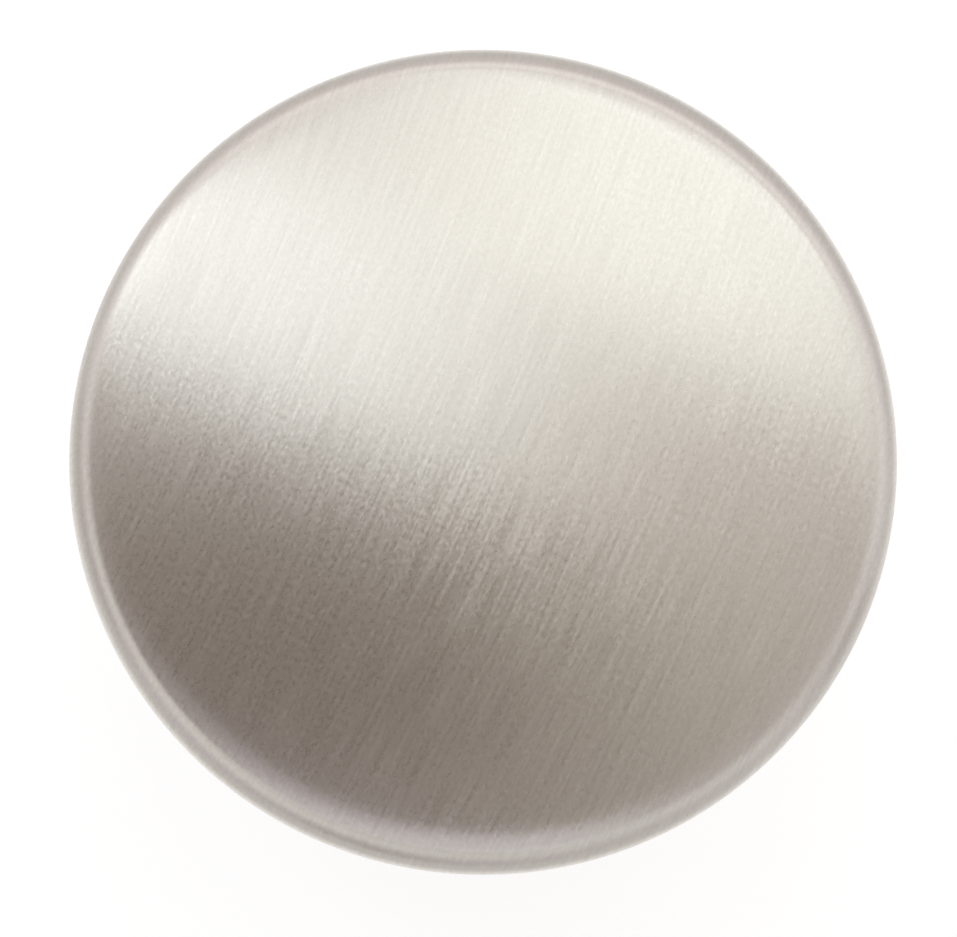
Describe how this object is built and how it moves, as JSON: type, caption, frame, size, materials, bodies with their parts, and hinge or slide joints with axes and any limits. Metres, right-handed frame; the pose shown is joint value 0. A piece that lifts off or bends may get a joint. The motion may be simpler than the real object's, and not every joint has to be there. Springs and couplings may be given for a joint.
{
  "type": "cabinet knob",
  "caption": "Round mushroom cabinet knob with a gently domed face, a tapered stem and a flat base with a tapped screw hole, in brushed satin nickel.",
  "frame": {"origin": "centre of the flat base, where it meets the door or drawer front", "axes": "+Z along the knob's axis, out of the door, so the domed face points to +Z and the screw comes in along +Z"},
  "size_m": [0.032, 0.032, 0.025],
  "materials": {
    "brushed_nickel": "satin nickel plate on a zinc casting, brushed in straight lines across the face"
  },
  "bodies": {
    "root": {"knob": "brushed_nickel"}
  },
  "joints": []
}
